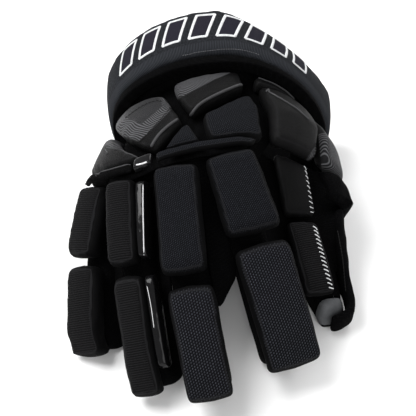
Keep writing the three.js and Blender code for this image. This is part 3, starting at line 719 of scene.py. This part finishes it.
def mesh_material(name, pitch, knot_colour):
    material, tree, surface = new_material(name, Roughness=0.8)
    surface.inputs["Specular IOR Level"].default_value = CLOTH_SHINE * 2
    place, _, top, seam = place_and_top(tree)
    turned = node(tree, "ShaderNodeVectorRotate", {"Vector": place, "Angle": MESH_TURN},
                  rotation_type="Z_AXIS")
    split = node(tree, "ShaderNodeSeparateXYZ", {0: turned.outputs[0]})
    across = calc(tree, "MULTIPLY", split.outputs[0], 2 * math.pi / pitch)
    onward = calc(tree, "MULTIPLY", split.outputs[1], 2 * math.pi / (pitch * MESH_LONG))
    first = calc(tree, "COSINE", calc(tree, "ADD", across, onward))
    second = calc(tree, "COSINE", calc(tree, "SUBTRACT", across, onward))
    knot = between(tree, calc(tree, "ADD", first, second), 0.1, 1.7)
    fleck = node(tree, "ShaderNodeTexNoise", {"Vector": place, "Scale": 500.0, "Detail": 3.0})
    knot = calc(tree, "MULTIPLY", knot, between(tree, fleck.outputs[0], 0.3, 0.65, 0.45, 1.0))
    cloth = blend_colours(tree, knot, MESH_HOLE, knot_colour)
    colour = blend_colours(tree, top, SIDE_COLOUR, cloth)
    # Painted highlight on the top-edge seam.
    colour = blend_colours(tree, calc(tree, "MULTIPLY", seam, 0.6), colour, SEAM_HIGHLIGHT_COLOUR)
    tree.links.new(colour, surface.inputs["Base Color"])
    height = calc(tree, "MULTIPLY", knot, top)
    raised(tree, surface, calc(tree, "ADD", height, calc(tree, "MULTIPLY", seam, 0.8)), 0.0006)
    return material


mesh_cloth = mesh_material("mesh_cloth", MESH_PITCH, MESH_KNOT)
coarse_cloth = mesh_material("coarse_mesh_cloth", COARSE_PITCH, COARSE_KNOT)
for pad in padded_pieces(MESH_PADS, FINGER_VOXEL, True) + padded_pieces(MESH_BACK_PADS, FINGER_VOXEL, False):
    pad.data.materials.append(coarse_cloth if "_far_" in pad.name else mesh_cloth)
    made[pad.name.replace("_foam", "")] = finish_piece(pad, "mesh_fabric", pad.name.replace("_foam", ""))


# The smooth pads on the back of the hand: thin coated leather over foam, with a satin shine and a faint
# grain. Parts of them are printed with fine grey wavy lines, and grey piping is sewn along their edges.
SMOOTH_PADS = ["pad_side", "pad_upper", "pad_thumb_upper", "pad_thumb", "knuckle_strip", "pad_outer",
               "pad_thumb_side"]
LEATHER_COLOUR = (0.0026, 0.0026, 0.0027, 1)
LEATHER_WORN = (0.0046, 0.0045, 0.0048, 1)
LEATHER_SHINE = 0.06
PRINT_DARK = (0.008, 0.008, 0.0088, 1)
PRINT_LIGHT = (0.085, 0.085, 0.09, 1)
PRINT_PITCH = 0.0016
PRINT_TURN = 0.9
PRINT_WAVE = 26.0
LABEL_GREY = (0.016, 0.016, 0.0172, 1)
STRIP_DARK = (0.0012, 0.0012, 0.0013, 1)
STRIP_LIGHT = (0.006, 0.006, 0.0066, 1)
STRIP_END_PIXELS = [(87, 180), (96, 178), (108, 174)]
PINKY_ROOT_PIXELS = [(92, 196), (100, 194), (110, 192)]
PIPING_FLATNESS = 0.42
CORD_DARK = (0.02, 0.02, 0.021, 1)
CORD_LIGHT = (0.05, 0.05, 0.053, 1)
PRINTED = {
    "pad_outer": [(104, 99), (134, 92), (163, 88), (174, 107), (152, 130), (139, 142), (108, 130)],
    "pad_side": [(92, 124), (136, 138), (150, 150), (120, 149), (96, 143)],
    "pad_upper": [(156, 86), (243, 56), (247, 66), (214, 80), (180, 98), (166, 106)],
    "pad_thumb": [(301, 168), (312, 150), (324, 136), (330, 152), (314, 178)],
    "pad_thumb_side": [(318, 134), (336, 130), (352, 192), (324, 196)],
}
LABEL_PLACE = [(130, 102), (158, 97), (163, 106), (141, 125), (124, 117)]
PIPED = {
    "pad_outer_piping": ("pad_outer", [(151, 147), (158, 136), (167, 127), (178, 119)], 0.0024),
    "pad_upper_piping": ("pad_upper", [(190, 116), (200, 104), (222, 92), (247, 82)], 0.0024),
    "pad_thumb_upper_piping": ("pad_thumb_upper", [(259, 68), (274, 75), (303, 93)], 0.0017),
    "pad_thumb_piping": ("pad_thumb", [(266, 92), (272, 88), (288, 93), (305, 102), (316, 114)], 0.0017),
    "pad_side_piping": ("pad_side", [(96, 146), (122, 150), (150, 153)], 0.0013),
    "knuckle_strip_seam": ("knuckle_strip", [(90, 175), (112, 169), (133, 163)], 0.0012),
}


def leather_material():
    material, tree, surface = new_material("smooth_leather", Roughness=0.5)
    surface.inputs["Specular IOR Level"].default_value = LEATHER_SHINE
    place = node(tree, "ShaderNodeTexCoord").outputs["Object"]
    grain = node(tree, "ShaderNodeTexVoronoi", {"Vector": place, "Scale": 1600.0},
                 feature="DISTANCE_TO_EDGE")
    cloud = node(tree, "ShaderNodeTexNoise", {"Vector": place, "Scale": 45.0, "Detail": 5.0})
    colour = blend_colours(tree, between(tree, cloud.outputs[0], 0.35, 0.7), LEATHER_COLOUR, LEATHER_WORN)
    own, _, _, seam = place_and_top(tree)
    bend = node(tree, "ShaderNodeTexNoise", {"Vector": own, "Scale": 70.0, "Detail": 0.0}).outputs[0]
    turned = node(tree, "ShaderNodeVectorRotate", {"Vector": own, "Angle": PRINT_TURN},
                  rotation_type="Z_AXIS")
    run = node(tree, "ShaderNodeSeparateXYZ", {0: turned.outputs[0]}).outputs[1]
    waves = calc(tree, "MULTIPLY", bend, PRINT_WAVE)
    waved = calc(tree, "MULTIPLY_ADD", run, 2 * math.pi / PRINT_PITCH, waves)
    line = between(tree, calc(tree, "SINE", waved), -0.1, 0.6)
    printed = blend_colours(tree, line, PRINT_DARK, PRINT_LIGHT)
    printed = blend_colours(tree, between(tree, number_of(tree, "label"), 0.0, 0.0004), printed, LABEL_GREY)
    colour = blend_colours(tree, between(tree, number_of(tree, "print"), 0.0, 0.0004), colour, printed)
    # Painted highlight, faint, on the top-edge seam of the leather pads.
    colour = blend_colours(tree, calc(tree, "MULTIPLY", seam, 0.35), colour, SEAM_HIGHLIGHT_COLOUR)
    tree.links.new(colour, surface.inputs["Base Color"])
    raised(tree, surface, between(tree, grain.outputs[0], 0.0, 0.2), 0.00008)
    return material


smooth_leather = leather_material()
strip_knit = knit_material("strip_knit", STRIP_DARK, STRIP_LIGHT)
smooth_pieces = padded_pieces(SMOOTH_PADS, BACK_VOXEL, False)
for pad in smooth_pieces + padded_pieces(["thumb_near_pad"], FINGER_VOXEL, True):
    pad.data.materials.append(strip_knit if pad.name.startswith("knuckle_strip") else smooth_leather)
    pad_name = pad.name.replace("_foam", "")
    made[pad_name] = pad
    if pad_name in PRINTED:
        zone(pad, "print", PRINTED[pad_name])
    if pad_name == "pad_outer":
        zone(pad, "label", LABEL_PLACE)
    finish_piece(pad, "grey_panel" if pad_name in ("pad_outer", "pad_thumb_side") else "smooth_leather",
                 pad_name)

grey_cord, cord_tree, cord_surface = new_material("grey_cord", Roughness=0.6)
cord_surface.inputs["Specular IOR Level"].default_value = 0.2
cord_place = node(cord_tree, "ShaderNodeTexCoord").outputs["Object"]
cord_noise = node(cord_tree, "ShaderNodeTexNoise", {"Vector": cord_place, "Scale": 900.0, "Detail": 3.0})
cord_tree.links.new(
    blend_colours(cord_tree, cord_noise.outputs[0], CORD_DARK, CORD_LIGHT),
    cord_surface.inputs["Base Color"],
)
raised(cord_tree, cord_surface, cord_noise.outputs[0], 0.0002)
for pipe_name, (carrier, spots, width) in PIPED.items():
    laid = laid_line(surface_of(made[carrier]), spots)
    piping(pipe_name, *laid, width, width * PIPING_FLATNESS, grey_cord, "grey_panel")
lining("knuckle_end_lining",
       on_pieces(["knuckle_strip"], STRIP_END_PIXELS), on_pieces(["pinky_stall"], PINKY_ROOT_PIXELS))


# The seams on the pads: a dashed dark line round the printed panel, a dotted black seam over the thumb's
# root, and white slanted stitches that close the thumb's pads on their outer side.
PANEL_SIDE_PIXELS = [(171, 107), (161, 119), (151, 130), (140, 141)]
PANEL_TOP_PIXELS = [(110, 101), (134, 93), (160, 89)]
ROOT_SEAM_PIXELS = [(321, 142), (316, 156), (308, 172)]
WHIP_NEAR_PIXELS = [(305, 168), (309, 190), (312, 212)]
WHIP_FAR_PIXELS = [(315, 228), (322, 255), (331, 288)]
WHIP_SLANT = 0.95


def sewn(carrier, *lines):
    surface = surface_of(made[carrier])
    return [laid_line(surface, spots) for spots in lines]


stitches("panel_stitches", sewn("pad_outer", PANEL_SIDE_PIXELS, PANEL_TOP_PIXELS),
         black_thread, "knit", pitch=0.0028, length=0.002, thickness=0.0006)
stitches("root_stitches", sewn("pad_thumb", ROOT_SEAM_PIXELS),
         black_thread, "knit", pitch=0.002, length=0.0013, thickness=0.0008)
stitches("thumb_whip_near", sewn("thumb_near_pad", WHIP_NEAR_PIXELS),
         white_thread, "palm_leather", pitch=0.0034, length=0.0034, thickness=0.0006, slant=WHIP_SLANT)
stitches("thumb_whip_far", sewn("thumb_far_pad", WHIP_FAR_PIXELS),
         white_thread, "palm_leather", pitch=0.0031, length=0.004, thickness=0.0008, slant=WHIP_SLANT)


# The cuff: a foam roll covered in a tight black weave. Its back carries a row of slanted blocks, filled
# with dark navy satin and outlined in white satin stitch, and its finger side is finely ribbed.
CUFF_VOXEL = 0.0032
CUFF_TURN = math.radians(12)
CUFF_RIM = 0.023
CUFF_MIDDLE = 0.045
CUFF_RADIUS = 0.085
WEAVE_PITCH = 0.0011
WEAVE_LOW = (0.0055, 0.006, 0.0072, 1)
WEAVE_HIGH = (0.02, 0.0218, 0.0255, 1)
BAND_LOW = (0.007, 0.0075, 0.009, 1)
BAND_HIGH = (0.03, 0.0325, 0.038, 1)
SATIN_LOW = (0.008, 0.0078, 0.0115, 1)
SATIN_HIGH = (0.02, 0.0185, 0.028, 1)
SATIN_PITCH = 0.0007
BAND_PITCH = 0.0013
RIB_BAND = (0.0375, 0.046)
EDGE_STITCH_SPAN = (-20, 22)
BLOCKS = 8
BLOCK_START = -61.0
BLOCK_PITCH = 15.0
BLOCK_WIDE = 9.5
BLOCK_SLANT = 4.0
BLOCK_RUNS = (0.0095, 0.0325)


def cuff_places(piece):
    points = points_of(piece.data)
    across = points[:, 0] * math.cos(CUFF_TURN) - points[:, 1] * math.sin(CUFF_TURN)
    run = CUFF_RIM - (points[:, 0] * math.sin(CUFF_TURN) + points[:, 1] * math.cos(CUFF_TURN))
    arc = np.arctan2(across, points[:, 2] - CUFF_MIDDLE)
    values = np.stack([arc * CUFF_RADIUS, run, np.zeros(len(run))], axis=1)
    layer = piece.data.attributes.new("cuff", "FLOAT_VECTOR", "POINT")
    layer.data.foreach_set("vector", values.ravel())
    return np.degrees(arc), run


def on_cuff(surface, angle, run):
    turn = math.radians(angle)
    y = CUFF_RIM - run
    axis = Vector((y * math.sin(CUFF_TURN), y * math.cos(CUFF_TURN), CUFF_MIDDLE))
    aside = math.sin(turn)
    out = Vector((aside * math.cos(CUFF_TURN), -aside * math.sin(CUFF_TURN), math.cos(turn)))
    hit, normal, _, _ = surface.ray_cast(axis + out * 0.3, -out)
    if hit is None:
        hit, normal, _, _ = surface.find_nearest(axis + out * CUFF_RADIUS)
    return hit, normal


def block_corners(number):
    left = BLOCK_START + number * BLOCK_PITCH
    low, high = BLOCK_RUNS
    return [(left, high), (left + BLOCK_WIDE, high), (left + BLOCK_WIDE + BLOCK_SLANT, low),
            (left + BLOCK_SLANT, low)]


def weave_material():
    material, tree, surface = new_material("cuff_weave", Roughness=0.85)
    surface.inputs["Specular IOR Level"].default_value = CLOTH_SHINE * 2
    place = node(tree, "ShaderNodeAttribute", attribute_name="cuff").outputs["Vector"]
    parts = node(tree, "ShaderNodeSeparateXYZ", {0: place})
    across = calc(tree, "MULTIPLY", parts.outputs[0], 2 * math.pi / WEAVE_PITCH)
    onward = calc(tree, "MULTIPLY", parts.outputs[1], 2 * math.pi / WEAVE_PITCH)
    threads = calc(tree, "MULTIPLY", calc(tree, "SINE", across), calc(tree, "SINE", onward))
    fleck = node(tree, "ShaderNodeTexNoise", {"Vector": place, "Scale": 700.0, "Detail": 3.0}).outputs[0]
    share = calc(tree, "MULTIPLY_ADD", threads, 0.3, between(tree, fleck, 0.3, 0.7))
    colour = blend_colours(tree, share, WEAVE_LOW, WEAVE_HIGH)
    satin = calc(tree, "SINE", calc(tree, "MULTIPLY", parts.outputs[1], 2 * math.pi / SATIN_PITCH))
    satin = calc(tree, "MULTIPLY_ADD", satin, 0.5, 0.5)
    filled = between(tree, number_of(tree, "fill"), -0.0002, 0.0003)
    colour = blend_colours(tree, filled, colour, blend_colours(tree, satin, SATIN_LOW, SATIN_HIGH))
    rib = calc(tree, "SINE", calc(tree, "MULTIPLY", parts.outputs[0], 2 * math.pi / BAND_PITCH))
    rib = calc(tree, "MULTIPLY_ADD", rib, 0.5, 0.5)
    ribbed = calc(tree, "MULTIPLY", between(tree, parts.outputs[1], RIB_BAND[0], RIB_BAND[0] + 0.0004),
                  between(tree, parts.outputs[1], RIB_BAND[1], RIB_BAND[1] - 0.0004))
    colour = blend_colours(tree, ribbed, colour, blend_colours(tree, rib, BAND_LOW, BAND_HIGH))
    tree.links.new(colour, surface.inputs["Base Color"])
    fine = calc(tree, "MULTIPLY", share, calc(tree, "SUBTRACT", 1.0, ribbed))
    raised(tree, surface, calc(tree, "ADD", fine, calc(tree, "MULTIPLY", rib, ribbed)), 0.0003)
    return material


cuff_weave = weave_material()
cuff = padded_pieces(["cuff_roll"], CUFF_VOXEL, False)[0]
made["cuff_roll"] = cuff
cuff.data.materials.append(cuff_weave)
arcs, runs = cuff_places(cuff)
filling = np.full(len(arcs), -0.01)
for number in range(BLOCKS):
    corners = block_corners(number)
    lean = BLOCK_SLANT * (BLOCK_RUNS[1] - runs) / (BLOCK_RUNS[1] - BLOCK_RUNS[0])
    aside = np.minimum(arcs - corners[0][0] - lean, corners[1][0] + lean - arcs) * math.radians(CUFF_RADIUS)
    inside = np.minimum(aside, np.minimum(runs - BLOCK_RUNS[0], BLOCK_RUNS[1] - runs))
    filling = np.maximum(filling, inside)
store_number(cuff, "fill", filling)
finish_piece(cuff, "cuff_fabric", "cuff_roll")

cuff_surface = surface_of(cuff)
outlines = []
for number in range(BLOCKS):
    corners = block_corners(number)
    for first, second in zip(corners, corners[1:] + corners[:1]):
        line = [on_cuff(cuff_surface, *np.array(first) + (np.array(second) - first) * step)
                for step in np.linspace(0, 1, 12)]
        outlines.append(([place for place, _ in line], [normal for _, normal in line]))
stitches("cuff_outlines", outlines, white_thread, "palm_leather", pitch=0.0005, length=0.0019,
         thickness=0.0006, slant=math.pi / 2)
edge_angles = np.linspace(*EDGE_STITCH_SPAN, 40)
edge_line = [on_cuff(cuff_surface, angle, RIB_BAND[1] - 0.002) for angle in edge_angles]
stitches("cuff_edge_stitches", [([place for place, _ in edge_line], [normal for _, normal in edge_line])],
         grey_thread, "grey_panel", pitch=0.0017, length=0.0009, thickness=0.0004)
for number, trim_name in enumerate(["cuff_trim", "cuff_panel"]):
    trim = shade_smooth(subdivided(merged_copy(trim_name, f"{trim_name}_cloth"), 2))
    trim.data.materials.append(black_knit)
    made[trim_name] = finish_piece(trim, "knit", trim_name)


# The glossy strips beside the ring finger's pads and the small tab on the knuckle strip: patent leather,
# with a painted highlight: a thin light grey strip laid along one edge of each.
GLOSS_NODES = ["ring_near_gloss", "ring_far_gloss", "knuckle_tab"]
PATENT_DARK = (0.002, 0.002, 0.0023, 1)
PATENT_LIGHT = (0.006, 0.006, 0.0065, 1)
patent, patent_tree, patent_surface = new_material("patent", Roughness=0.12)
patent_place = node(patent_tree, "ShaderNodeTexCoord").outputs["Object"]
patent_cloud = node(patent_tree, "ShaderNodeTexNoise",
                    {"Vector": patent_place, "Scale": 150.0, "Detail": 3.0})
patent_tree.links.new(
    blend_colours(patent_tree, patent_cloud.outputs[0], PATENT_DARK, PATENT_LIGHT),
    patent_surface.inputs["Base Color"],
)
patent_surface.inputs["Specular IOR Level"].default_value = 0.14
patent_surface.inputs["Coat Weight"].default_value = 0.05
raised(patent_tree, patent_surface, patent_cloud.outputs[0], 0.0003)
for gloss_name in GLOSS_NODES:
    gloss = shade_smooth(subdivided(merged_copy(gloss_name, f"{gloss_name}_skin"), 2))
    gloss.data.materials.append(patent)
    made[gloss_name] = finish_piece(gloss, "gloss_trim", gloss_name)

# Painted highlight: a light grey, fairly glossy strip stands in for the lamps' reflection along the patent
# edges.
bright_cord, highlight_tree, highlight_surface = new_material("bright_cord", Roughness=0.25)
highlight_place = node(highlight_tree, "ShaderNodeTexCoord").outputs["Object"]
highlight_noise = node(highlight_tree, "ShaderNodeTexNoise", {"Vector": highlight_place, "Scale": 300.0}).outputs[0]
highlight_tree.links.new(
    blend_colours(highlight_tree, highlight_noise, (0.45, 0.45, 0.46, 1), (0.75, 0.75, 0.76, 1)),
    highlight_surface.inputs["Base Color"],
)
PAINTED_HIGHLIGHTS = {
    "ring_near_shine": ("ring_near_gloss", [(143, 184), (143, 210), (144, 256)], 0.0008),
    "knuckle_tab_shine": ("knuckle_tab", [(136, 165), (141, 164), (147, 162)], 0.0012),
    "ring_far_shine": ("ring_far_gloss", [(147, 286), (151, 306), (154, 328)], 0.0005),
}
for shine_name, (carrier, spots, width) in PAINTED_HIGHLIGHTS.items():
    laid = laid_line(surface_of(made[carrier]), spots)
    piping(shine_name, *laid, width, width * 0.4, bright_cord, "palm_leather")


# The palm side: one suede sheet over the palm, a strip under each finger and the thumb's sole and tip,
# light grey, with a fine nap, darker where it is rubbed. The side that faces the hand is lined in black, and
# the same black is painted as shade on every suede face that is not turned well down, such as the edges
# seen between the fingers; the thumb's tip keeps its suede.
LINING_AND_SHADE_COLOUR = (0.002, 0.002, 0.0022, 1)
SUEDE_DARK = (0.042, 0.044, 0.047, 1)
SUEDE_LIGHT = (0.115, 0.119, 0.125, 1)
PALM_NODES = ["palm", "pinky_palm_strip", "ring_palm_strip", "middle_palm_strip", "index_palm_strip",
              "thumb_sole", "thumb_tip"]


def palm_material():
    material, tree, surface = new_material("palm_leather", Roughness=0.85)
    surface.inputs["Specular IOR Level"].default_value = 0.15
    place = node(tree, "ShaderNodeTexCoord").outputs["Object"]
    cloud = node(tree, "ShaderNodeTexNoise", {"Vector": place, "Scale": 55.0, "Detail": 6.0}).outputs[0]
    nap = node(tree, "ShaderNodeTexNoise", {"Vector": place, "Scale": 900.0, "Detail": 3.0}).outputs[0]
    rubbed = between(tree, cloud, 0.3, 0.65, 0.35, 1.0)
    share = calc(tree, "MULTIPLY", rubbed, between(tree, nap, 0.2, 0.6, 0.8, 1.0))
    colour = blend_colours(tree, share, SUEDE_DARK, SUEDE_LIGHT)
    # Black lining on the inner side, and painted shade on the suede faces that are not turned well down.
    colour = blend_colours(tree, number_of(tree, "lining"), colour, LINING_AND_SHADE_COLOUR)
    tree.links.new(colour, surface.inputs["Base Color"])
    raised(tree, surface, calc(tree, "MULTIPLY_ADD", nap, 0.2, cloud), 0.0006)
    return material


# Marks the black lining and the painted shade: every face whose normal points less than steeply down.
def lining_and_shade(skin):
    store_number(skin, "lining", np.clip(1.6 + normals_of(skin.data)[:, 2] * 2, 0, 1))


palm_skin = palm_material()
for number, palm_name in enumerate(PALM_NODES):
    skin = shade_smooth(subdivided(merged_copy(palm_name, f"{palm_name}_skin"), 2))
    rumpled(skin, 0.0004, 0.009, number + 20)
    if palm_name != "thumb_tip":
        lining_and_shade(skin)
    skin.data.materials.append(palm_skin)
    made[palm_name] = finish_piece(skin, "palm_leather", palm_name)


# The soft joins of the palm sheet: a knit strip to the cuff's panel at the wrist, and a suede strip to the
# roots of the fingers. Both are sewn to the edges that they join.
WRIST_SPAN = (-0.078, 0.074)
WRIST_FRONT = (-0.09, 0.002)
PALM_SPAN = (-0.082, 0.052)
PALM_FRONT = (-0.16, 0.09)
FINGER_ROOTS = ["pinky_palm_strip", "ring_palm_strip", "middle_palm_strip", "index_palm_strip",
                "pinky_stall", "ring_stall", "middle_stall", "index_stall"]


def edge_of(name, span, front, count):
    return nearest_to([name], [(x, *front) for x in np.linspace(*span, count)])


def places_of(edge):
    return [place for place, _ in edge]


wrist_edge = edge_of("cuff_panel", WRIST_SPAN, WRIST_FRONT, 24)
lining("wrist_lining", wrist_edge, nearest_to(["palm"], places_of(wrist_edge)))
palm_edge = edge_of("palm", PALM_SPAN, PALM_FRONT, 24)
palm_join = lining("palm_join", palm_edge,
                   nearest_to(FINGER_ROOTS, places_of(palm_edge)),
                   material=palm_skin, slot="palm_leather")
lining_and_shade(palm_join)


# The thumb's outer side: a soft gusset at the root and a rolled edge round to the tip, both knitted and
# pulled into folds, with a seam between the roll and the stall.
EDGE_DARK = (0.001, 0.001, 0.0012, 1)
EDGE_LIGHT = (0.0055, 0.0053, 0.0056, 1)
EDGE_SLACK = 0.001
THUMB_SIDE_PIXELS = [(308, 168), (312, 182), (315, 200), (319, 222), (323, 245), (329, 272)]
EDGE_INNER_PIXELS = [(334, 168), (336, 184), (337, 202), (335, 222), (335, 245), (338, 272)]
EDGE_SEAM_PIXELS = [(338, 232), (343, 260), (346, 290)]
edge_knit = knit_material("edge_knit", EDGE_DARK, EDGE_LIGHT)
for edge_name, folds in (("thumb_gusset", 0.0014), ("thumb_edge", 0.0012)):
    edge = shade_smooth(subdivided(merged_copy(edge_name, f"{edge_name}_cloth"), 3))
    rumpled(edge, folds, 0.011, 3)
    edge.data.materials.append(edge_knit)
    made[edge_name] = finish_piece(edge, "knit", edge_name)
lining("thumb_side_lining",
       on_pieces(["thumb_stall"], THUMB_SIDE_PIXELS),
       on_pieces(["thumb_edge", "thumb_gusset"], EDGE_INNER_PIXELS), EDGE_SLACK)
stitches("thumb_edge_seam", sewn("thumb_edge", EDGE_SEAM_PIXELS),
         black_thread, "knit", pitch=0.0022, length=0.0018, thickness=0.0007)
